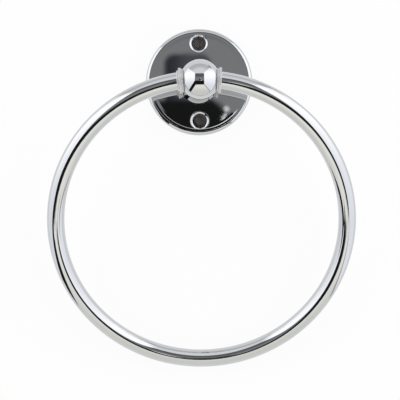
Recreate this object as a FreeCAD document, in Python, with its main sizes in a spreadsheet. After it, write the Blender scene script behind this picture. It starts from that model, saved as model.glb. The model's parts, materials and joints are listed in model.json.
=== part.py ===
import FreeCAD, Part
import math
import os
import Sketcher

# Towel ring: a round wall plate, a post that ends in a ball, and a ring that swings on the ball.
# Millimetres. +Z is up, the wall is the plane Y = 0, and the object stands out towards -Y.
# The origin is the centre of the wall plate's back.

DRIVING_SIZES = {
    # wall plate
    "plate_diameter": 55.0,
    "plate_thickness": 6.0,
    "rim_round": 2.1,
    "bevel_width": 2.4,
    "bevel_drop": 0.072,
    "bevel_step_inset": 1.0,
    "bevel_step_width": 0.25,
    "bevel_step_drop": 0.025,
    "back_relief": 1.2,
    "back_land": 3.0,
    "back_boss_diameter": 20.0,
    # its two holes for wall screws, one above the other
    "wall_screw_inset": 7.5,
    "wall_screw_bore": 4.5,
    "wall_screw_pad": 9.6,
    "countersink_diameter": 10.2,
    "countersink_lip": 1.85,
    # post and ball
    "spigot_diameter": 10.0,
    "spigot_length": 1.4,
    "foot_diameter": 16.0,
    "foot_height": 1.6,
    "foot_land": 0.5,
    "stem_diameter": 10.5,
    "ball_diameter": 20.4,
    "ball_flat_diameter": 11.0,
    "ball_reach": 47.0,
    # screw that holds the post from behind
    "thread_diameter": 6.0,
    "thread_spare": 2.7,
    "drill_point": 1.8,
    "post_screw_length": 16.0,
    "post_screw_head": 11.4,
    "post_screw_sunk": 0.3,
    "post_screw_chamfer": 0.8,
    "hex_across_flats": 4.0,
    "hex_depth": 2.4,
    # ring and its two pivots
    "ring_radius": 74.4,
    "rod_diameter": 9.0,
    "pivot_diameter": 5.9,
    "pivot_length": 5.0,
    "pivot_chamfer": 0.5,
    # collars on the rod's ends
    "collar_length": 2.0,
    "collar_wall": 1.2,
    "collar_cove": 0.35,
    "collar_rim_width": 1.35,
    "collar_rim_height": 0.55,
    "collar_rim_edge": 0.15,
    "shoulder_wall": 0.5,
    "shoulder_length": 1.0,
    "shoulder_chamfer": 0.25,
    # clearances
    "fit_gap": 0.05,
    "seat_gap": 0.1,
    "pivot_gap": 0.05,
    "end_float": 0.1,
    "ball_gap": 0.15,
}

doc = FreeCAD.newDocument("towel_ring")


def make_sheet():
    """The driving dimensions, one named cell each."""
    sheet = doc.addObject("Spreadsheet::Sheet", "dim")
    for row, (name, value) in enumerate(DRIVING_SIZES.items(), start=1):
        sheet.set(f"A{row}", name)
        sheet.set(f"B{row}", str(value))
        sheet.setAlias(f"B{row}", name)
    doc.recompute()


def make_layout():
    """Places that follow from the driving dimensions."""
    layout = doc.addObject("App::VarSet", "layout")

    def derive(kind, name, expression, note):
        layout.addProperty(kind, name, "Layout", note)
        layout.setExpression(name, expression)
        doc.recompute()

    length = "App::PropertyFloat"
    angle = "App::PropertyAngle"
    derive(length, "ball_flat", "sqrt(dim.ball_diameter ^ 2 - dim.ball_flat_diameter ^ 2) / 2",
           "from the ball's centre to each of its flats")
    derive(length, "end_face", "layout.ball_flat + dim.end_float",
           "from the ball's centre to each end face of the rod")
    derive(length, "collar_station", "layout.end_face + dim.collar_length / 2",
           "from the ball's centre to the middle of each collar")
    derive(angle, "rod_slope", "asin(layout.collar_station / dim.ring_radius)",
           "slope of the rod in the middle of the collar")
    derive(length, "collar_drop", "dim.ring_radius * (1 - cos(layout.rod_slope))",
           "how far the rod has curved down at the collar")
    derive(angle, "collar_lean", "layout.rod_slope / 2",
           "the collar stands midway between square to the rod and square to the pivots")
    derive(length, "collar_reach", "dim.collar_length / 2 + dim.shoulder_length",
           "from the middle of the longer collar to its far end")
    derive(length, "bend_room",
           "layout.collar_reach * tan(layout.collar_lean) + layout.collar_reach ^ 2 / (2 * dim.ring_radius)",
           "how far the bent rod strays inside the longer collar's straight bore")
    derive(angle, "ring_gap", "asin((layout.end_face - dim.rod_diameter / 4) / dim.ring_radius)",
           "half the angle that is open at the top, before the ends are faced")
    derive(angle, "ring_tilt", "asin((dim.ball_reach - dim.rod_diameter / 2) / (2 * dim.ring_radius))",
           "the ring leans back until its foot rests on the wall's plane")


def new_body(label):
    body = doc.addObject("PartDesign::Body", label)
    body.Label = label
    return body


def origin_item(body, role):
    """A plane or axis of the body's own origin, such as YZ_Plane or X_Axis."""
    return next(item for item in body.Origin.OriginFeatures if item.Role == role)


def new_sketch(body, name, plane):
    sketch = body.newObject("Sketcher::SketchObject", name)
    sketch.AttachmentSupport = [(origin_item(body, plane), "")]
    sketch.MapMode = "FlatFace"
    doc.recompute()
    return sketch


def value_of(sketch, expression):
    """The number, in mm, that an expression has now."""
    result = sketch.evalExpression(expression)
    return float(getattr(result, "Value", result))


def bind(sketch, constraint, expression):
    """Adds a dimension and ties it to the sheet."""
    index = sketch.addConstraint(constraint)
    sketch.setExpression(f"Constraints[{index}]", expression)


def arc_between(start, end, radius, turn):
    """The arc of less than half a turn from start to end that bends left (1) or right (-1)."""
    chord = end.sub(start)
    middle = start.add(chord * 0.5)
    left = FreeCAD.Vector(-chord.y, chord.x, 0).normalize()
    height = math.sqrt(max(radius ** 2 - (chord.Length / 2) ** 2, 0))
    centre = middle.add(left * (height * turn))
    first, last = (start, end) if turn > 0 else (end, start)
    angles = [math.atan2(point.y - centre.y, point.x - centre.x) for point in (first, last)]
    circle = Part.Circle(centre, FreeCAD.Vector(0, 0, 1), radius)
    return Part.ArcOfCircle(circle, *angles)


def outline(sketch, corners):
    """Draws a closed outline.

    Each corner is (x, y), or (x, y, radius, turn) where an arc leads on to the next corner.
    x and y are expressions. Edges along an axis are held level or upright, and every other
    coordinate is a dimension from the origin.
    """
    points = [FreeCAD.Vector(value_of(sketch, c[0]), value_of(sketch, c[1]), 0) for c in corners]
    ends = []
    for number, corner in enumerate(corners):
        start, end = points[number], points[(number + 1) % len(points)]
        if len(corner) == 4:
            radius_now = value_of(sketch, corner[2])
            edge = sketch.addGeometry(arc_between(start, end, radius_now, corner[3]), False)
            ends.append((edge, 1, 2) if corner[3] > 0 else (edge, 2, 1))
        else:
            edge = sketch.addGeometry(Part.LineSegment(start, end), False)
            ends.append((edge, 1, 2))
    for number, corner in enumerate(corners):
        before, here = ends[number - 1], ends[number]
        sketch.addConstraint(Sketcher.Constraint("Coincident", before[0], before[2], here[0], here[1]))
    for number, corner in enumerate(corners):
        previous = corners[number - 1]
        before, here = ends[number - 1], ends[number]
        came_by_line = len(previous) == 2
        level = came_by_line and previous[1] == corner[1] and number > 0
        upright = came_by_line and previous[0] == corner[0] and number > 0
        if level:
            sketch.addConstraint(Sketcher.Constraint("Horizontal", before[0]))
        elif corner[1] == "0":
            sketch.addConstraint(Sketcher.Constraint("PointOnObject", here[0], here[1], -1))
        else:
            rise = Sketcher.Constraint("DistanceY", -1, 1, here[0], here[1], points[number].y)
            bind(sketch, rise, corner[1])
        if upright:
            sketch.addConstraint(Sketcher.Constraint("Vertical", before[0]))
        elif corner[0] == "0":
            sketch.addConstraint(Sketcher.Constraint("PointOnObject", here[0], here[1], -2))
        else:
            reach = Sketcher.Constraint("DistanceX", -1, 1, here[0], here[1], points[number].x)
            bind(sketch, reach, corner[0])
        if len(corner) == 4:
            radius_now = value_of(sketch, corner[2])
            bind(sketch, Sketcher.Constraint("Radius", here[0], radius_now), corner[2])
    doc.recompute()


def circle_at(sketch, x, y, diameter):
    """A circle whose centre and diameter are expressions."""
    centre = FreeCAD.Vector(value_of(sketch, x), value_of(sketch, y), 0)
    diameter_now = value_of(sketch, diameter)
    edge = sketch.addGeometry(Part.Circle(centre, FreeCAD.Vector(0, 0, 1), diameter_now / 2), False)
    for kind, place, now in (("DistanceX", x, centre.x), ("DistanceY", y, centre.y)):
        if place == "0":
            axis = -2 if kind == "DistanceX" else -1
            sketch.addConstraint(Sketcher.Constraint("PointOnObject", edge, 3, axis))
        else:
            bind(sketch, Sketcher.Constraint(kind, -1, 1, edge, 3, now), place)
    bind(sketch, Sketcher.Constraint("Diameter", edge, diameter_now), diameter)
    doc.recompute()


def turned(body, kind, name, sketch, axis="H_Axis"):
    """A Revolution or Groove of a sketch about one of the sketch's own axes."""
    feature = body.newObject(f"PartDesign::{kind}", name)
    feature.Profile = sketch
    feature.ReferenceAxis = (sketch, [axis])
    feature.Angle = 360
    doc.recompute()
    return feature


def through_pocket(body, name, sketch):
    """A cut that runs through everything on both sides of its sketch."""
    pocket = body.newObject("PartDesign::Pocket", name)
    pocket.Profile = sketch
    pocket.Type = "ThroughAll"
    pocket.Midplane = True
    doc.recompute()
    return pocket


def mirrored(body, name, feature, plane="YZ_Plane"):
    """The same feature on the other side of one of the body's planes."""
    mirror = body.newObject("PartDesign::Mirrored", name)
    mirror.Originals = [feature]
    mirror.MirrorPlane = (origin_item(body, plane), [""])
    body.Tip = mirror
    doc.recompute()
    return mirror


def make_wall_plate():
    """Turned plate: flat face, stepped bevel, rounded rim, relieved back, two countersunk holes.

    Behind each hole a pad reaches the wall, so that the screws don't bow the plate.
    """
    body = new_body("wall_plate")
    front = "-dim.plate_thickness"
    upper_bevel = "-dim.plate_thickness + dim.bevel_drop"
    bevel = "-dim.plate_thickness + dim.bevel_drop + dim.bevel_step_drop"
    edge = "dim.plate_diameter / 2"
    step_foot = f"{edge} - dim.rim_round - dim.bevel_step_inset"
    screw_bore = "dim.thread_diameter / 2 + dim.seat_gap"
    screw_mouth = "dim.post_screw_head / 2 + dim.post_screw_sunk + dim.seat_gap"
    land = "dim.plate_diameter / 2 - dim.back_land"
    seat_floor = "-dim.plate_thickness + dim.spigot_length + dim.seat_gap"
    seat_wall = "dim.spigot_diameter / 2 + dim.fit_gap"

    section = new_sketch(body, "plate_section", "YZ_Plane")
    outline(section, [
        ("0", screw_mouth),
        ("0", "dim.back_boss_diameter / 2"),
        ("-dim.back_relief", "dim.back_boss_diameter / 2"),
        ("-dim.back_relief", land),
        ("0", land),
        ("0", edge),
        (f"{bevel} + dim.rim_round", edge, "dim.rim_round", 1),
        (bevel, f"{edge} - dim.rim_round"),
        (bevel, step_foot),
        (upper_bevel, f"{step_foot} - dim.bevel_step_width"),
        (front, f"{edge} - dim.rim_round - dim.bevel_width"),
        (front, seat_wall),
        (seat_floor, seat_wall),
        (seat_floor, screw_bore),
        (f"-({screw_mouth}) + {screw_bore}", screw_bore),
    ])
    turned(body, "Revolution", "plate_blank", section)

    hole_axis = "dim.plate_diameter / 2 - dim.wall_screw_inset"
    pad_outline = new_sketch(body, "wall_screw_pad_outline", "XZ_Plane")
    circle_at(pad_outline, "0", hole_axis, "dim.wall_screw_pad")
    pad = body.newObject("PartDesign::Pad", "wall_screw_pad")
    pad.Profile = pad_outline
    pad.setExpression("Length", "dim.plate_thickness / 2")
    doc.recompute()

    # The lip rolls over from the face into a cone of 90 degrees.
    lip_side = "dim.countersink_lip * cos(45 deg)"
    lip_depth = f"dim.countersink_lip - {lip_side}"
    cone_mouth = f"(dim.countersink_diameter / 2 - {lip_side})"
    bore = "dim.wall_screw_bore / 2"
    hole = new_sketch(body, "wall_screw_section", "YZ_Plane")
    hole.setExpression("AttachmentOffset.Base.y", hole_axis)
    doc.recompute()
    outline(hole, [
        ("-dim.plate_thickness", "dim.countersink_diameter / 2", "dim.countersink_lip", 1),
        (f"-dim.plate_thickness + {lip_depth}", cone_mouth),
        (f"-dim.plate_thickness + {lip_depth} + {cone_mouth} - {bore}", bore),
        ("dim.back_relief", bore),
        ("dim.back_relief", "0"),
        ("-dim.plate_thickness", "0"),
    ])
    drilling = turned(body, "Groove", "wall_screw_hole", hole)
    pair = body.newObject("PartDesign::PolarPattern", "wall_screw_holes")
    pair.Originals = [pad, drilling]
    pair.Axis = (origin_item(body, "Y_Axis"), [""])
    pair.Angle = 360
    pair.Occurrences = 2
    body.Tip = pair
    doc.recompute()
    return body


def make_ball_post():
    """One turning: spigot, foot, stem and ball, tapped from behind and bored across the ball."""
    body = new_body("ball_post")
    face = "-dim.plate_thickness"
    foot_top = "-dim.plate_thickness - dim.foot_height"
    stem = "dim.stem_diameter / 2"
    tapping = "dim.thread_diameter / 2 + dim.fit_gap"
    cove = "(dim.foot_diameter / 2 - dim.foot_land - dim.stem_diameter / 2)"
    tapped_end = "-dim.post_screw_sunk - dim.post_screw_length - dim.thread_spare"
    ball_root = "-dim.ball_reach + sqrt(dim.ball_diameter ^ 2 - dim.stem_diameter ^ 2) / 2"
    section = new_sketch(body, "post_section", "YZ_Plane")
    outline(section, [
        ("-dim.plate_thickness + dim.spigot_length", tapping),
        ("-dim.plate_thickness + dim.spigot_length", "dim.spigot_diameter / 2"),
        (face, "dim.spigot_diameter / 2"),
        (face, "dim.foot_diameter / 2"),
        (foot_top, "dim.foot_diameter / 2"),
        (foot_top, "dim.foot_diameter / 2 - dim.foot_land", cove, -1),
        (f"{foot_top} - {cove}", stem),
        (ball_root, stem, "dim.ball_diameter / 2", 1),
        ("-dim.ball_reach - dim.ball_diameter / 2", "0"),
        (f"{tapped_end} - dim.drill_point", "0"),
        (tapped_end, tapping),
    ])
    turned(body, "Revolution", "post_turning", section)

    flat = new_sketch(body, "ball_flat_outline", "YZ_Plane")
    flat.setExpression("AttachmentOffset.Base.z", "layout.ball_flat")
    doc.recompute()
    circle_at(flat, "-dim.ball_reach", "0", "dim.ball_diameter + 2 * dim.ball_gap")
    milling = body.newObject("PartDesign::Pocket", "ball_flat")
    milling.Profile = flat
    milling.Type = "ThroughAll"
    milling.Reversed = True
    doc.recompute()
    mirrored(body, "ball_flats", milling)

    bore = new_sketch(body, "pivot_bore_outline", "YZ_Plane")
    circle_at(bore, "-dim.ball_reach", "0", "dim.pivot_diameter + 2 * dim.pivot_gap")
    through_pocket(body, "pivot_bore", bore)
    return body


def make_post_screw():
    """Countersunk socket screw that pulls the post onto the plate from behind."""
    body = new_body("post_screw")
    head = "dim.post_screw_head / 2"
    shank = "dim.thread_diameter / 2"
    top = "-dim.post_screw_sunk"
    tip = "-dim.post_screw_sunk - dim.post_screw_length"
    section = new_sketch(body, "screw_section", "YZ_Plane")
    outline(section, [
        (top, "0"),
        (top, head),
        (f"{top} - {head} + {shank}", shank),
        (f"{tip} + dim.post_screw_chamfer", shank),
        (tip, f"{shank} - dim.post_screw_chamfer"),
        (tip, "0"),
    ])
    turned(body, "Revolution", "screw_turning", section)

    socket = new_sketch(body, "socket_outline", "XZ_Plane")
    socket.setExpression("AttachmentOffset.Base.z", "dim.post_screw_sunk")
    doc.recompute()
    corner_radius = value_of(socket, "dim.hex_across_flats / sqrt(3)")
    corners = [
        FreeCAD.Vector(corner_radius * math.cos(turn), corner_radius * math.sin(turn), 0)
        for turn in (math.radians(60 * step) for step in range(6))
    ]
    guide = socket.addGeometry(Part.Circle(FreeCAD.Vector(), FreeCAD.Vector(0, 0, 1), corner_radius), True)
    socket.addConstraint(Sketcher.Constraint("Coincident", guide, 3, -1, 1))
    bind(socket, Sketcher.Constraint("Radius", guide, corner_radius), "dim.hex_across_flats / sqrt(3)")
    sides = [
        socket.addGeometry(Part.LineSegment(corners[step - 1], corners[step]), False)
        for step in range(6)
    ]
    for step, side in enumerate(sides):
        socket.addConstraint(Sketcher.Constraint("Coincident", sides[step - 1], 2, side, 1))
        socket.addConstraint(Sketcher.Constraint("PointOnObject", side, 1, guide))
        if step > 0:
            socket.addConstraint(Sketcher.Constraint("Equal", sides[0], side))
    socket.addConstraint(Sketcher.Constraint("PointOnObject", sides[0], 2, -1))
    doc.recompute()
    broach = body.newObject("PartDesign::Pocket", "hex_socket")
    broach.Profile = socket
    broach.Reversed = True
    broach.setExpression("Length", "dim.hex_depth")
    doc.recompute()
    return body


def swing_with_ring(body):
    """Places a piece, drawn about the pivot axis, at the ball's centre and at the ring's lean."""
    body.Placement = FreeCAD.Placement(FreeCAD.Vector(), FreeCAD.Rotation(FreeCAD.Vector(1, 0, 0), 1))
    body.setExpression("Placement.Base.y", "-dim.ball_reach")
    body.setExpression("Placement.Rotation.Angle", "layout.ring_tilt")
    doc.recompute()


def clear_the_ball(body):
    """Faces off what would rub on the ball, leaving the end float and the gap round the ball."""
    gap_radius = "dim.ball_diameter / 2 + dim.ball_gap"
    rim = f"sqrt(({gap_radius}) ^ 2 - layout.end_face ^ 2)"
    section = new_sketch(body, f"{body.Name}_ball_room", "XZ_Plane")
    outline(section, [
        ("layout.end_face", "0"),
        ("layout.end_face", rim, gap_radius, 1),
        ("-layout.end_face", rim),
        ("-layout.end_face", "0"),
    ])
    turned(body, "Groove", f"{body.Name}_facing", section)


def make_towel_ring():
    """Round rod bent to a ring, its two ends faced square and turned down to pivots."""
    body = new_body("towel_ring")
    section = new_sketch(body, "rod_section", "YZ_Plane")
    section.setExpression("AttachmentOffset.Base.y", "-dim.ring_radius")
    doc.recompute()
    circle_at(section, "0", "-dim.ring_radius", "dim.rod_diameter")
    bend = body.newObject("PartDesign::Revolution", "bent_rod")
    bend.Profile = section
    bend.ReferenceAxis = (section, ["H_Axis"])
    bend.Midplane = True
    bend.setExpression("Angle", "360 deg - 2 * layout.ring_gap")
    doc.recompute()
    clear_the_ball(body)

    pivot = "dim.pivot_diameter / 2"
    root = "layout.end_face + dim.pivot_chamfer"
    tip = "layout.end_face - dim.pivot_length"
    profile = new_sketch(body, "pivot_section", "XZ_Plane")
    outline(profile, [
        (root, "0"),
        (root, pivot),
        (f"{tip} + dim.pivot_chamfer", pivot),
        (tip, f"{pivot} - dim.pivot_chamfer"),
        (tip, "0"),
    ])
    spigot = turned(body, "Revolution", "pivot", profile)
    mirrored(body, "pivots", spigot)
    swing_with_ring(body)
    return body


def make_collar(label, side, with_shoulder):
    """Turned collar on an end of the rod, with a raised rim at its far end.

    side is 1 right, -1 left.
    """
    body = new_body(label)
    bore = "dim.rod_diameter / 2 + dim.fit_gap + layout.bend_room"
    neck = f"{bore} + dim.collar_wall"
    rim = f"{neck} + dim.collar_rim_height"
    shoulder = f"{bore} + dim.shoulder_wall"
    outer = "dim.collar_length / 2"
    rim_start = f"{outer} - dim.collar_rim_width"
    blank_end = "-layout.collar_station / 2"
    corners = [
        (blank_end, bore),
        (blank_end, neck),
        (f"{rim_start} - dim.collar_cove", neck, "dim.collar_cove", 1),
        (rim_start, f"{neck} + dim.collar_cove"),
        (rim_start, f"{rim} - dim.collar_rim_edge", "dim.collar_rim_edge", -1),
        (f"{rim_start} + dim.collar_rim_edge", rim),
        (f"{outer} - dim.collar_rim_edge", rim, "dim.collar_rim_edge", -1),
        (outer, f"{rim} - dim.collar_rim_edge"),
    ]
    if with_shoulder:
        corners += [
            (outer, shoulder),
            (f"{outer} + dim.shoulder_length - dim.shoulder_chamfer", shoulder),
            (f"{outer} + dim.shoulder_length", f"{shoulder} - dim.shoulder_chamfer"),
            (f"{outer} + dim.shoulder_length", bore),
        ]
    else:
        corners += [(outer, bore)]
    section = new_sketch(body, f"{label}_section", "XZ_Plane")
    start_turn = FreeCAD.Rotation(FreeCAD.Vector(0, 0, 1), 1)
    section.AttachmentOffset = FreeCAD.Placement(FreeCAD.Vector(), start_turn)
    lean = "-layout.collar_lean" if side > 0 else "180 deg + layout.collar_lean"
    section.setExpression("AttachmentOffset.Base.x", f"{side} * layout.collar_station")
    section.setExpression("AttachmentOffset.Base.y", "-layout.collar_drop")
    section.setExpression("AttachmentOffset.Rotation.Angle", lean)
    doc.recompute()
    outline(section, corners)
    turned(body, "Revolution", f"{label}_turning", section)
    clear_the_ball(body)
    swing_with_ring(body)
    return body


def check_all(bodies):
    """Stops on anything that failed to build."""
    for item in doc.Objects:
        if "Invalid" in item.State or "Error" in item.State:
            raise RuntimeError(f"{item.Label} failed: {item.State}")
    for body in bodies:
        shape = body.Shape
        if shape.isNull() or not shape.isValid() or len(shape.Solids) != 1:
            raise RuntimeError(f"{body.Label} is not one valid solid")


def export(bodies):
    """Writes each piece to parts/, named after its label, and prints its volume."""
    os.makedirs("parts", exist_ok=True)
    for body in bodies:
        body.Shape.exportStep(f"parts/{body.Label}.step")
        print(f"{body.Label}: {body.Shape.Volume:.1f} mm3")


make_sheet()
make_layout()
pieces = [
    make_wall_plate(),
    make_ball_post(),
    make_post_screw(),
    make_towel_ring(),
    make_collar("collar_left", -1, True),
    make_collar("collar_right", 1, False),
]
doc.recompute()
check_all(pieces)
export(pieces)
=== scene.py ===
import json
import math

import bmesh
import bpy
from mathutils import Euler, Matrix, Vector


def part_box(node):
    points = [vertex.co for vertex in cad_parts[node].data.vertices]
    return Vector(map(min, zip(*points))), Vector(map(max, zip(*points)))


# Chrome towel ring on a pale wall, photographed in a light tent.
# Metres, in the frame of the CAD model: the wall is the plane y = 0 and the front looks along +Y.

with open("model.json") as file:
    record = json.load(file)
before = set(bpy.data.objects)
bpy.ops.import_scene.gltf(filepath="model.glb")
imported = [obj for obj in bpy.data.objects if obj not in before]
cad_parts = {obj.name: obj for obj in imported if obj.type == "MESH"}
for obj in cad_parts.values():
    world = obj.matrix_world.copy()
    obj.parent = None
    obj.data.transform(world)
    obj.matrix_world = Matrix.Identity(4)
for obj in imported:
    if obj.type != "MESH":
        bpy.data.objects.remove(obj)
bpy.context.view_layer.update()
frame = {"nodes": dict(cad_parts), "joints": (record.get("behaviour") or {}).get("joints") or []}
nodes = frame["nodes"]
swing = next(joint for joint in frame["joints"] if joint["name"] == "ring_swing")
BALL_CENTRE = Vector(swing["pos_m"])

PLATE_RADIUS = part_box("wall_plate")[1].x
SCREW_INSET = 0.0075
RING_TILT = math.radians(16.6)
RING_RADIUS = 0.0744

# The photograph's view: the camera's place, its turn in degrees, and its lens in millimetres.
CAMERA_PLACE = (-0.01861, -1.66096, -0.05916)
CAMERA_TURN = (89.94, 0.80, -0.63)
CAMERA_LENS = 288.45


class Tree:
    """Adds nodes to a node tree. An input may be a number, a tuple or another node's output."""

    def __init__(self, tree):
        self.tree = tree
        tree.nodes.clear()

    def node(self, kind, inputs=None, **settings):
        node = self.tree.nodes.new(kind)
        for name, value in settings.items():
            setattr(node, name, value)
        for socket, value in (inputs or {}).items():
            self.feed(value, node.inputs[socket])
        return node

    def feed(self, value, socket):
        if isinstance(value, bpy.types.NodeSocket):
            self.tree.links.new(value, socket)
        else:
            socket.default_value = value

    def math(self, operation, *values):
        return self.node("ShaderNodeMath", dict(enumerate(values)), operation=operation).outputs[0]

    def vector(self, operation, *values):
        node = self.node("ShaderNodeVectorMath", dict(enumerate(values)), operation=operation)
        return node.outputs["Value" if operation in ("LENGTH", "DOT_PRODUCT") else "Vector"]

    def split(self, vector):
        return self.node("ShaderNodeSeparateXYZ", {0: vector}).outputs

    def join(self, x, y, z):
        return self.node("ShaderNodeCombineXYZ", {0: x, 1: y, 2: z}).outputs[0]

    def line(self, x, slope, offset):
        """slope * x + offset."""
        return self.math("MULTIPLY_ADD", x, slope, offset)

    def distance(self, value, middle):
        """How far a value is from a middle, on either side."""
        return self.math("ABSOLUTE", self.math("SUBTRACT", value, middle))

    def step(self, value, start, end):
        """0 at start and before, 1 at end and beyond, smooth between."""
        settings = {"Value": value, "From Min": start, "From Max": end}
        return self.node("ShaderNodeMapRange", settings, interpolation_type="SMOOTHSTEP").outputs[0]

    def spread(self, value, low, high):
        """A value from 0 to 1 spread from low to high."""
        return self.node("ShaderNodeMapRange", {"Value": value, "To Min": low, "To Max": high}).outputs[0]

    def all_of(self, *masks):
        result = masks[0]
        for mask in masks[1:]:
            result = self.math("MULTIPLY", result, mask)
        return result

    def mix(self, factor, first, second):
        """A colour between two. The node keeps its colour sockets behind those of its other types."""
        first_colour, second_colour, result = 6, 7, 2
        inputs = {"Factor": factor, first_colour: first, second_colour: second}
        return self.node("ShaderNodeMix", data_type="RGBA", inputs=inputs).outputs[result]

    def noise(self, vector, scale, detail, roughness):
        settings = {"Vector": vector, "Scale": scale, "Detail": detail, "Roughness": roughness}
        return self.node("ShaderNodeTexNoise", settings).outputs["Fac"]


def grey(level):
    return (level, level, level, 1.0)


# Light tent
#
# A cloth box round the object. Its panels are laid out on the picture that a mirror ball gives of
# it: x from -1 left to 1 right, and y from -1 at the bottom to 1 at the top. The world repeats
# that picture beyond the box's open ends. A pair in a name ending _FADE is where a soft step
# starts and where it ends, and one ending _EDGE is a straight edge's slope and offset.

TENT_LEFT = -0.250
TENT_RIGHT = 0.185
TENT_TOP = 0.275
TENT_BOTTOM = -0.255
TENT_FRONT = -0.250
TENT_BACK = 0.020
TENT_WHITE = grey(1.0)
DARK = grey(0.014)

TOP_PANEL = (1.03, 1.04, 1.06, 1.0)
TOP_PANEL_SHADE = (0.72, 0.72, 0.73, 1.0)
TOP_SHADE_IN_FADE = (0.46, 0.66)
TOP_SHADE_OUT_FADE = (0.765, 0.745)
BOTTOM_PANEL = (1.23, 1.21, 1.14, 1.0)
BOTTOM_PANEL_BACK = (0.97, 0.95, 0.88, 1.0)
BOTTOM_BACK_FADE = (-0.35, -0.65)
BOTTOM_TO_TOP_FADE = (0.0, 0.05)

SOFTBOX = grey(1.72)
SOFTBOX_HEAD = grey(1.38)
SOFTBOX_HEAD_FADE = (0.28, 0.50)
LEFT_SOFTBOX_FOOT = (1.06, 1.08, 1.13, 1.0)
RIGHT_SOFTBOX_FOOT = (1.20, 1.22, 1.27, 1.0)
SOFTBOX_FOOT_FADE = (0.22, -0.42)
SOFTBOX_BACK_FADE = (0.70, 0.92)
SOFTBOX_MIDDLE = -0.040
SOFTBOX_TOP_EDGE = (0.84, 0.106)
RIGHT_BOTTOM_EDGE = (-1.10, -0.015)
LEFT_BOTTOM_EDGE = (-1.51, 0.265)
EDGE_BLUR = 0.012
LEFT_HALF_FADE = (0.0, -0.01)
RIGHT_HALF_FADE = (0.0, 0.01)

WIDE_SEAM_EDGE = (-1.43, -0.020)
THIN_SEAM = grey(0.3)
THIN_SEAM_SHARE = 0.8
THIN_SEAM_FADE = (0.038, 0.016)
CORNER_SEAM = grey(0.2)
CORNER_SEAM_OUT = 0.757
CORNER_SEAM_OUT_FADE = (0.030, 0.012)
CORNER_SEAM_ACROSS = 0.48
CORNER_SEAM_ACROSS_FADE = (0.11, 0.05)
CORNER_SEAM_UP_FADE = (0.45, 0.50)


def ball_picture(t, direction):
    """Where a mirror ball shows a direction."""
    half_way = t.vector("NORMALIZE", t.vector("SUBTRACT", direction, (0.0, 1.0, 0.0)))
    x, _, y = t.split(half_way)
    return x, y


def tent_colour(t, direction):
    """Top and bottom panels, a softbox on each side, and the dark seams between them."""
    x, y = ball_picture(t, direction)
    side = t.distance(x, SOFTBOX_MIDDLE)
    out = t.vector("LENGTH", t.join(x, y, 0.0))
    on_left = t.step(x, *LEFT_HALF_FADE)

    shade = t.all_of(t.step(out, *TOP_SHADE_IN_FADE), t.step(out, *TOP_SHADE_OUT_FADE))
    top = t.mix(shade, TOP_PANEL, TOP_PANEL_SHADE)
    bottom = t.mix(t.step(y, *BOTTOM_BACK_FADE), BOTTOM_PANEL, BOTTOM_PANEL_BACK)
    colour = t.mix(t.step(y, *BOTTOM_TO_TOP_FADE), bottom, top)

    # Softboxes, brightest in their upper half and in front.
    under_top_edge = t.math("SUBTRACT", t.line(side, *SOFTBOX_TOP_EDGE), y)
    slope = t.spread(on_left, RIGHT_BOTTOM_EDGE[0], LEFT_BOTTOM_EDGE[0])
    offset = t.spread(on_left, RIGHT_BOTTOM_EDGE[1], LEFT_BOTTOM_EDGE[1])
    over_bottom_edge = t.math("SUBTRACT", y, t.line(side, slope, offset))
    panel = t.all_of(
        t.step(under_top_edge, -EDGE_BLUR, EDGE_BLUR),
        t.step(over_bottom_edge, -EDGE_BLUR, EDGE_BLUR),
    )
    foot = t.mix(on_left, RIGHT_SOFTBOX_FOOT, LEFT_SOFTBOX_FOOT)
    lit = t.mix(t.step(y, *SOFTBOX_FOOT_FADE), SOFTBOX, foot)
    lit = t.mix(t.step(y, *SOFTBOX_HEAD_FADE), lit, SOFTBOX_HEAD)
    lit = t.mix(t.step(side, *SOFTBOX_BACK_FADE), lit, TENT_WHITE)
    colour = t.mix(panel, colour, lit)

    # Seams: a wide one at the lower left, a thin one at the lower right, and the upper right corner.
    wide_seam = t.all_of(
        on_left,
        t.step(over_bottom_edge, EDGE_BLUR, -EDGE_BLUR),
        t.step(t.math("SUBTRACT", y, t.line(side, *WIDE_SEAM_EDGE)), -EDGE_BLUR, EDGE_BLUR),
    )
    thin_seam = t.all_of(
        t.step(x, *RIGHT_HALF_FADE),
        t.step(t.math("ABSOLUTE", over_bottom_edge), *THIN_SEAM_FADE),
    )
    corner = t.all_of(
        t.step(t.distance(out, CORNER_SEAM_OUT), *CORNER_SEAM_OUT_FADE),
        t.step(t.distance(x, CORNER_SEAM_ACROSS), *CORNER_SEAM_ACROSS_FADE),
        t.step(y, *CORNER_SEAM_UP_FADE),
    )
    colour = t.mix(wide_seam, colour, DARK)
    colour = t.mix(t.math("MULTIPLY", thin_seam, THIN_SEAM_SHARE), colour, THIN_SEAM)
    return t.mix(corner, colour, CORNER_SEAM)


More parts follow.
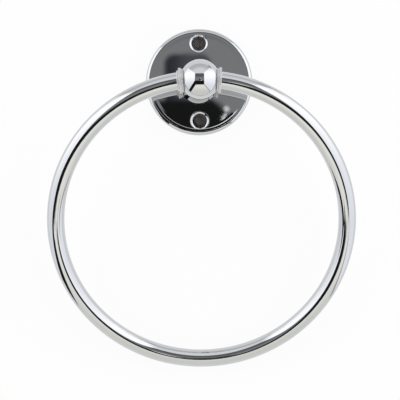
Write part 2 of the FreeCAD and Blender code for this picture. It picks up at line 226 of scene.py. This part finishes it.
def make_tent():
    """The cloth box: lit inside, plain white to the camera, and seen through from outside."""
    bm = bmesh.new()
    low = Vector((TENT_LEFT, TENT_FRONT, TENT_BOTTOM))
    high = Vector((TENT_RIGHT, TENT_BACK, TENT_TOP))
    corners = {
        (i, j, k): bm.verts.new(((low, high)[i].x, (low, high)[j].y, (low, high)[k].z))
        for i in (0, 1)
        for j in (0, 1)
        for k in (0, 1)
    }
    for i in (0, 1):
        bm.faces.new([corners[i, j, k] for j, k in ((0, 0), (1, 0), (1, 1), (0, 1))])
    for k in (0, 1):
        bm.faces.new([corners[i, j, k] for i, j in ((0, 0), (1, 0), (1, 1), (0, 1))])
    middle = (low + high) / 2
    for face in bm.faces:
        face.normal_update()
        if face.normal.dot(middle - face.calc_center_median()) < 0:
            face.normal_flip()
    mesh = bpy.data.meshes.new("light_tent")
    bm.to_mesh(mesh)
    bm.free()
    tent = bpy.data.objects.new("light_tent", mesh)
    bpy.context.scene.collection.objects.link(tent)

    material = bpy.data.materials.new("light_tent")
    material.use_nodes = True
    t = Tree(material.node_tree)
    place = t.node("ShaderNodeNewGeometry").outputs["Position"]
    colour = tent_colour(t, t.vector("NORMALIZE", t.vector("SUBTRACT", place, tuple(BALL_CENTRE))))
    colour = t.mix(t.node("ShaderNodeLightPath").outputs["Is Camera Ray"], colour, TENT_WHITE)
    lit = t.node("ShaderNodeEmission", {"Color": colour, "Strength": 1.0}).outputs[0]
    show_inside_only(t, lit)
    mesh.materials.append(material)


def show_inside_only(t, front):
    """Shows a surface from its front, and nothing from its back."""
    clear = t.node("ShaderNodeBsdfTransparent").outputs[0]
    from_behind = t.node("ShaderNodeNewGeometry").outputs["Backfacing"]
    surface = t.node("ShaderNodeMixShader", {0: from_behind, 1: front, 2: clear}).outputs[0]
    t.feed(surface, t.node("ShaderNodeOutputMaterial").inputs["Surface"])


# Room
#
# The tent is open towards the camera, and the room shows in the opening: its heights and edges are
# on the ball picture. What stands in it is laid out by slopes from the axis (across, up), as the
# flat plate shows it.

ROOM = grey(0.29)
ROOM_ABOVE = grey(0.15)
ROOM_ABOVE_FADE = (0.05, 0.16)
ROOM_BELOW_FADE = (-0.07, -0.10)
OPENING_LEFT_EDGE = (0.07, -0.2645)
OPENING_RIGHT = 0.198
OPENING_MIDDLE = -0.0055
OPENING_HALF_HEIGHT = 0.2775
OPENING_BLUR = 0.011

STAND = (0.098, 0.104, 0.118, 1.0)
DARK_STAND = (0.036, 0.040, 0.048, 1.0)
STAND_FADE = (0.001, 0.009)
HEAD_MIDDLE = 0.00772
HEAD_FLAT_HALF = 0.00388
HEAD_CORNER_UP = 0.0412
HEAD_CORNER_FADE = (0.0044, 0.0024)
SHOULDER_UP_FADE = (0.0312, 0.0292)
SHOULDER_EDGE = (-0.92, 0.0443)
SHOULDER_EDGE_FADE = (0.0030, -0.0015)
SHOULDER_LEFT_FADE = (-0.11, -0.09)

LAMP = grey(1.3)
LAMP_SHARE = 0.7
LAMP_PLACE = (0.0197, 0.0272, 0.0)
LAMP_FADE = (0.0014, 0.0003)
CLOTH_EDGE = grey(1.2)
CLOTH_EDGE_PLACE = (0.0188, 0.0248, 0.0)
CLOTH_EDGE_ALONG = (0.6, 0.8, 0.0)
CLOTH_EDGE_OFF = (0.8, -0.6, 0.0)
CLOTH_EDGE_LENGTH = 0.0017
CLOTH_EDGE_WIDTH = 0.0004
CLOTH_EDGE_FADE = (1.2, 0.5)

# Rings round the slope that the plate's face looks along: a lit edge low down, wider and brighter
# on the right, and the paler part of the room that the countersinks show.
FACE_SLOPE = (0.0109, 0.0359, 0.0)
LOW_EDGE_LEFT = grey(0.7)
LOW_EDGE_RIGHT = grey(1.9)
LOW_EDGE_RIGHT_FADE = (0.02, 0.12)
LOW_EDGE_WIDENING = 2.4
LOW_EDGE_OUT = 0.2145
LOW_EDGE_FADE = (0.012, 0.006)
LOW_EDGE_UP_FADE = (-0.085, -0.110)
PALE_ROOM = grey(0.14)
PALE_ROOM_OUT = 0.081
PALE_ROOM_FADE = (0.0205, 0.0190)
PALE_ROOM_UP_FADE = (-0.004, -0.010)


def with_camera_and_stand(t, room, across, up):
    """The dark silhouette in front of the room: a head with round corners, and a shoulder."""
    past_corner = t.join(
        t.math("MAXIMUM", t.math("SUBTRACT", t.distance(across, HEAD_MIDDLE), HEAD_FLAT_HALF), 0.0),
        t.math("MAXIMUM", t.math("SUBTRACT", up, HEAD_CORNER_UP), 0.0),
        0.0,
    )
    head = t.step(t.vector("LENGTH", past_corner), *HEAD_CORNER_FADE)
    head_colour = t.mix(t.step(across, *STAND_FADE), DARK_STAND, STAND)
    shoulder = t.all_of(
        t.step(up, *SHOULDER_UP_FADE),
        t.step(t.math("SUBTRACT", up, t.line(across, *SHOULDER_EDGE)), *SHOULDER_EDGE_FADE),
        t.step(across, *SHOULDER_LEFT_FADE),
    )
    return t.mix(shoulder, t.mix(head, room, head_colour), DARK)


def with_lights(t, room, across, up):
    """A lamp and a lit cloth edge beside the camera, and the rings round the face's slope.

    The low edge draws a fine line in the step of the plate's bevel.
    """
    slopes = t.join(across, up, 0.0)
    from_face = t.vector("LENGTH", t.vector("SUBTRACT", slopes, FACE_SLOPE))
    pale_room = t.all_of(
        t.step(t.distance(from_face, PALE_ROOM_OUT), *PALE_ROOM_FADE),
        t.step(up, *PALE_ROOM_UP_FADE),
    )
    lamp = t.step(t.vector("LENGTH", t.vector("SUBTRACT", slopes, LAMP_PLACE)), *LAMP_FADE)

    from_cloth = t.vector("SUBTRACT", slopes, CLOTH_EDGE_PLACE)
    along = t.math("DIVIDE", t.vector("DOT_PRODUCT", from_cloth, CLOTH_EDGE_ALONG), CLOTH_EDGE_LENGTH)
    off = t.math("DIVIDE", t.vector("DOT_PRODUCT", from_cloth, CLOTH_EDGE_OFF), CLOTH_EDGE_WIDTH)
    cloth_edge = t.step(t.vector("LENGTH", t.join(along, off, 0.0)), *CLOTH_EDGE_FADE)

    on_right = t.step(across, *LOW_EDGE_RIGHT_FADE)
    width = t.spread(on_right, 1.0, LOW_EDGE_WIDENING)
    low_edge = t.all_of(
        t.step(t.math("DIVIDE", t.distance(from_face, LOW_EDGE_OUT), width), *LOW_EDGE_FADE),
        t.step(up, *LOW_EDGE_UP_FADE),
    )
    room = t.mix(pale_room, room, PALE_ROOM)
    room = t.mix(t.math("MULTIPLY", lamp, LAMP_SHARE), room, LAMP)
    room = t.mix(cloth_edge, room, CLOTH_EDGE)
    return t.mix(low_edge, room, t.mix(on_right, LOW_EDGE_LEFT, LOW_EDGE_RIGHT))


def make_room():
    """World light: the room, dark below, in an opening between the tent's far panels.

    The same picture stands behind the wall, for views from behind. The camera sees plain white.
    """
    world = bpy.data.worlds.new("room")
    bpy.context.scene.world = world
    world.use_nodes = True
    t = Tree(world.node_tree)
    dx, dy, dz = t.split(t.node("ShaderNodeTexCoord").outputs["Generated"])
    ahead = t.math("ABSOLUTE", dy)
    direction = t.join(dx, t.math("MULTIPLY", ahead, -1.0), dz)
    across = t.math("DIVIDE", dx, ahead)
    up = t.math("DIVIDE", dz, ahead)
    x, y = ball_picture(t, direction)

    room = t.mix(t.step(y, *ROOM_ABOVE_FADE), ROOM, ROOM_ABOVE)
    room = t.mix(t.step(y, *ROOM_BELOW_FADE), room, DARK)
    room = with_camera_and_stand(t, room, across, up)
    room = with_lights(t, room, across, up)

    past_left = t.math("SUBTRACT", x, t.line(y, *OPENING_LEFT_EDGE))
    past_right = t.math("SUBTRACT", x, OPENING_RIGHT)
    past_height = t.math("SUBTRACT", t.distance(y, OPENING_MIDDLE), OPENING_HALF_HEIGHT)
    opening = t.all_of(
        t.step(past_left, -OPENING_BLUR, OPENING_BLUR),
        t.step(past_right, OPENING_BLUR, -OPENING_BLUR),
        t.step(past_height, OPENING_BLUR, -OPENING_BLUR),
    )
    colour = t.mix(opening, tent_colour(t, direction), room)
    sees_plain_white = t.node("ShaderNodeLightPath").outputs["Is Camera Ray"]
    colour = t.mix(sees_plain_white, colour, TENT_WHITE)
    background = t.node("ShaderNodeBackground", {"Color": colour, "Strength": 1.0})
    output = t.node("ShaderNodeOutputWorld")
    t.feed(background.outputs[0], output.inputs["Surface"])


# Wall

WALL_Y = 0.0002
WALL_RADIUS = 0.205
WALL_COLOUR = grey(0.96)
WALL_PLAIN = 0.92
WALL_BEHIND_PLATE = 0.0005
# Painted shade: dark discs behind the plate's screw holes, whose colour stands in for the shadow inside
# the holes.
HOLE_SHADE_RADIUS = 0.0042
HOLE_SHADE_COLOUR = (0.30, 0.27, 0.25, 1.0)
PINHOLE_RADIUS = 0.00005
DISC_SEGMENTS = 96


def make_disc(bm, centre, outer, inner):
    """A flat ring across the Y axis, or a disc if its inner radius is a pinhole."""
    turns = [2 * math.pi * number / DISC_SEGMENTS for number in range(DISC_SEGMENTS)]
    rings = [
        [bm.verts.new(centre + Vector((math.cos(turn), 0.0, math.sin(turn))) * radius) for turn in turns]
        for radius in (outer, inner)
    ]
    for number in range(DISC_SEGMENTS):
        following = (number + 1) % DISC_SEGMENTS
        a, b = rings[0][number], rings[0][following]
        c, d = rings[1][following], rings[1][number]
        bm.faces.new((a, b, c, d))


def make_stage_object(name, discs, colour, plain):
    """Part of the wall, seen through from behind.

    plain is the share of plain, unshaded colour that the camera and the metal see in it; the rest
    is shaded, and keeps the object's shadow.
    """
    bm = bmesh.new()
    for centre, outer, inner in discs:
        make_disc(bm, centre, outer, inner)
    bmesh.ops.recalc_face_normals(bm, faces=bm.faces)
    for face in bm.faces:
        if face.normal.y > 0:
            face.normal_flip()
    mesh = bpy.data.meshes.new(name)
    bm.to_mesh(mesh)
    bm.free()
    stage = bpy.data.objects.new(name, mesh)
    bpy.context.scene.collection.objects.link(stage)

    material = bpy.data.materials.new(name)
    material.use_nodes = True
    t = Tree(material.node_tree)
    diffuse = t.node("ShaderNodeBsdfDiffuse", {"Color": colour}).outputs[0]
    rays = t.node("ShaderNodeLightPath").outputs
    seen = t.math("MAXIMUM", rays["Is Camera Ray"], rays["Is Glossy Ray"])
    seen = t.math("MAXIMUM", seen, rays["Is Transmission Ray"])
    flat = t.node("ShaderNodeEmission", {"Color": grey(1.0), "Strength": 1.0}).outputs[0]
    share = t.math("MULTIPLY", seen, plain)
    front = t.node("ShaderNodeMixShader", {0: share, 1: diffuse, 2: flat}).outputs[0]
    show_inside_only(t, front)
    mesh.materials.append(material)


def make_wall():
    """A pale board as the wall, open behind the plate so that views from behind see it lit. Dark discs
    behind the screw holes are painted shade.
    """
    board = (Vector((0.0, WALL_Y, 0.0)), WALL_RADIUS, PLATE_RADIUS - WALL_BEHIND_PLATE)
    make_stage_object("wall", [board], WALL_COLOUR, WALL_PLAIN)
    # Painted shade behind the screw holes: dark discs where the holes' shadow falls.
    hole_height = PLATE_RADIUS - SCREW_INSET
    hole_shade_discs = [
        (Vector((0.0, WALL_Y, side * hole_height)), HOLE_SHADE_RADIUS, PINHOLE_RADIUS) for side in (1, -1)
    ]
    make_stage_object("wall_hole_shade", hole_shade_discs, HOLE_SHADE_COLOUR, 0.0)


# Metals
#
# A noise is its scale, detail and roughness. Depths of bumps are in metres.

CHROME_COLOURS = ((0.555, 0.565, 0.585, 1.0), (0.600, 0.608, 0.622, 1.0))
CHROME_TONE_NOISE = (55.0, 2.0, 0.5)
CHROME_HAZE_NOISE = (140.0, 3.0, 0.55)
CHROME_WAVE_NOISE = (90.0, 1.0, 0.5)
POLISHING_NOISE = (5200.0, 3.0, 0.6)
POLISHING_DEPTH = 1.2e-7

SATIN_COLOURS = ((0.640, 0.646, 0.656, 1.0), (0.720, 0.724, 0.730, 1.0))
SATIN_GRAIN_NOISE = (1500.0, 3.0, 0.6)
SATIN_TURNING_NOISE = (4200.0, 4.0, 0.7)
SATIN_TURNING_DEPTH = 8.0e-6
SATIN_ROUGHNESS = (0.50, 0.72)

ZINC_COLOURS = ((0.50, 0.53, 0.58, 1.0), (0.60, 0.58, 0.50, 1.0))
ZINC_CAST_NOISE = (320.0, 3.0, 0.6)
ZINC_CAST_FADE = (0.35, 0.65)
ZINC_TURNING_NOISE = (3600.0, 4.0, 0.65)
ZINC_TURNING_DEPTH = 4.0e-6
ZINC_ROUGHNESS = (0.22, 0.42)

LINE_DRIFT = 0.0004


def ring_coordinates(t, place, centre, turn):
    """Coordinates whose noise runs in fine lines round an axis, as polishing and turning leave them.

    turn brings the axis to Z. No seam shows, because the angle enters as its sine and cosine.
    """
    settings = {"Vector": t.vector("SUBTRACT", place, centre), "Rotation": turn}
    turned = t.node("ShaderNodeVectorRotate", settings, rotation_type="EULER_XYZ")
    x, y, z = t.split(turned.outputs[0])
    radius = t.vector("LENGTH", t.join(x, y, 0.0))
    angle = t.math("ARCTAN2", y, x)
    return t.join(
        t.math("ADD", radius, t.math("MULTIPLY", t.math("COSINE", angle), LINE_DRIFT)),
        t.math("ADD", z, t.math("MULTIPLY", t.math("SINE", angle), LINE_DRIFT)),
        0.0,
    )


def new_metal(name):
    """A material, its tree, and the coordinates of the object that wears it."""
    material = bpy.data.materials.new(name)
    material.use_nodes = True
    t = Tree(material.node_tree)
    return material, t, t.node("ShaderNodeTexCoord").outputs["Object"]


def shade_metal(t, base, roughness, bumps):
    """A metal surface with its bumps, each a height and a depth, one upon another."""
    shader = t.node("ShaderNodeBsdfPrincipled", {"Base Color": base, "Roughness": roughness})
    shader.inputs["Metallic"].default_value = 1.0
    under = {}
    for height, depth in bumps:
        settings = {"Height": height, "Strength": 1.0, "Distance": depth, **under}
        under = {"Normal": t.node("ShaderNodeBump", settings).outputs[0]}
    t.feed(under["Normal"], shader.inputs["Normal"])
    t.feed(shader.outputs[0], t.node("ShaderNodeOutputMaterial").inputs["Surface"])


def make_chrome(name, centre, turn, wave, lines, haze):
    """Bright chrome: faint polishing lines, a slow waviness and a patchy haze, all hardly there.

    wave is the waviness's depth, haze the range of its roughness, and lines the most that the
    polishing lines add to that.
    """
    material, t, place = new_metal(name)
    polishing = t.noise(ring_coordinates(t, place, centre, turn), *POLISHING_NOISE)
    hazy = t.spread(t.noise(place, *CHROME_HAZE_NOISE), *haze)
    roughness = t.math("ADD", hazy, t.math("MULTIPLY", polishing, lines))
    base = t.mix(t.noise(place, *CHROME_TONE_NOISE), *CHROME_COLOURS)
    bumps = [(t.noise(place, *CHROME_WAVE_NOISE), wave), (polishing, POLISHING_DEPTH)]
    shade_metal(t, base, roughness, bumps)
    return material


def make_satin_chrome(name, centre, turn):
    """Satin chrome: fine turning lines in an even, soft shine."""
    material, t, place = new_metal(name)
    turning = t.noise(ring_coordinates(t, place, centre, turn), *SATIN_TURNING_NOISE)
    base = t.mix(t.noise(place, *SATIN_GRAIN_NOISE), *SATIN_COLOURS)
    shade_metal(t, base, t.spread(turning, *SATIN_ROUGHNESS), [(turning, SATIN_TURNING_DEPTH)])
    return material


def make_zinc_plating(name, centre, turn):
    """Zinc-plated steel: satin, with turning marks and a faint blue and yellow cast."""
    material, t, place = new_metal(name)
    turning = t.noise(ring_coordinates(t, place, centre, turn), *ZINC_TURNING_NOISE)
    cast = t.step(t.noise(place, *ZINC_CAST_NOISE), *ZINC_CAST_FADE)
    base = t.mix(cast, *ZINC_COLOURS)
    shade_metal(t, base, t.spread(turning, *ZINC_ROUGHNESS), [(turning, ZINC_TURNING_DEPTH)])
    return material


# Where each finish's lines run: a point on their axis, and the turn that brings the axis to Z.
QUARTER = math.pi / 2
TO_RING_CENTRE = Vector((0.0, math.sin(RING_TILT), -math.cos(RING_TILT))) * RING_RADIUS
ROUND_POST = ((0, 0, 0), (QUARTER, 0.0, 0.0))
ROUND_PIVOTS = (tuple(BALL_CENTRE), (0.0, QUARTER, 0.0))
ROUND_RING = (tuple(BALL_CENTRE + TO_RING_CENTRE), (QUARTER - RING_TILT, 0.0, 0.0))

FINISHES = {
    "wall_plate": make_chrome("chrome_plate", *ROUND_POST, wave=1.0e-6, lines=0.004, haze=(0.003, 0.012)),
    "ball_post": make_chrome("chrome_post", *ROUND_POST, wave=1.0e-6, lines=0.010, haze=(0.010, 0.030)),
    "towel_ring": make_chrome("chrome_ring", *ROUND_RING, wave=2.0e-6, lines=0.012, haze=(0.010, 0.035)),
    "collar_left": make_satin_chrome("satin_collar_left", *ROUND_PIVOTS),
    "collar_right": make_satin_chrome("satin_collar_right", *ROUND_PIVOTS),
    "post_screw": make_zinc_plating("zinc_screw", *ROUND_POST),
}


def finish_pieces():
    for name, material in FINISHES.items():
        for slot in nodes[name].material_slots:
            slot.material = material


def make_camera():
    """Long lens, square to the plate, a little below it."""
    data = bpy.data.cameras.new("camera")
    data.sensor_width = 36.0
    data.lens = CAMERA_LENS
    data.clip_start = 0.01
    data.clip_end = 20.0
    camera = bpy.data.objects.new("camera", data)
    camera.location = CAMERA_PLACE
    camera.rotation_euler = Euler([math.radians(turn) for turn in CAMERA_TURN])
    bpy.context.scene.collection.objects.link(camera)
    bpy.context.scene.camera = camera


make_tent()
make_room()
make_wall()
finish_pieces()
make_camera()
bpy.context.scene.view_settings.view_transform = "Standard"
